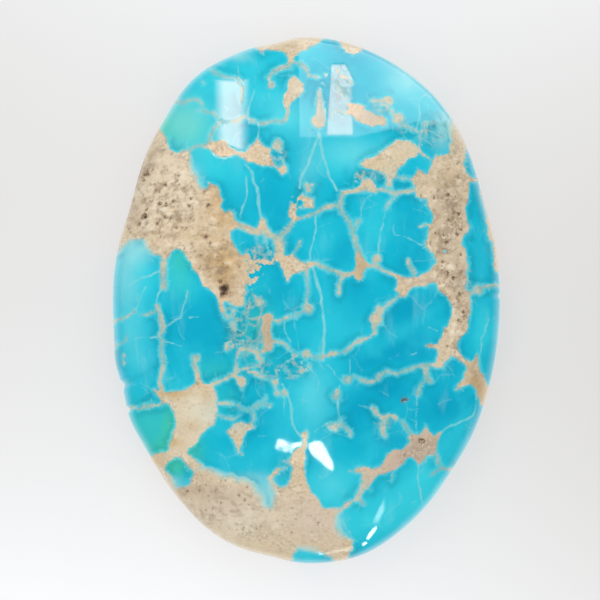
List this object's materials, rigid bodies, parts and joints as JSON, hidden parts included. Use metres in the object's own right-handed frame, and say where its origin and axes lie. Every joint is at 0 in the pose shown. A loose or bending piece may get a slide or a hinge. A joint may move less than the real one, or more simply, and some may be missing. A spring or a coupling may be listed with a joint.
{
  "type": "polished turquoise cabochon",
  "caption": "Polished oval domed stone: sky-blue turquoise veined and patched with pale pitted host rock, on a flat sawn back.",
  "frame": {"origin": "on the flat back, under the middle of the oval's bounding box", "axes": "+Y along the long way of the oval, +X across it, +Z out of the domed face"},
  "size_m": [0.0296, 0.04, 0.0085],
  "materials": {
    "turquoise": "polished turquoise with matt, pitted tan host rock in seams and patches; sawn matt back"
  },
  "bodies": {
    "root": {"turquoise_stone": "turquoise"}
  },
  "joints": []
}
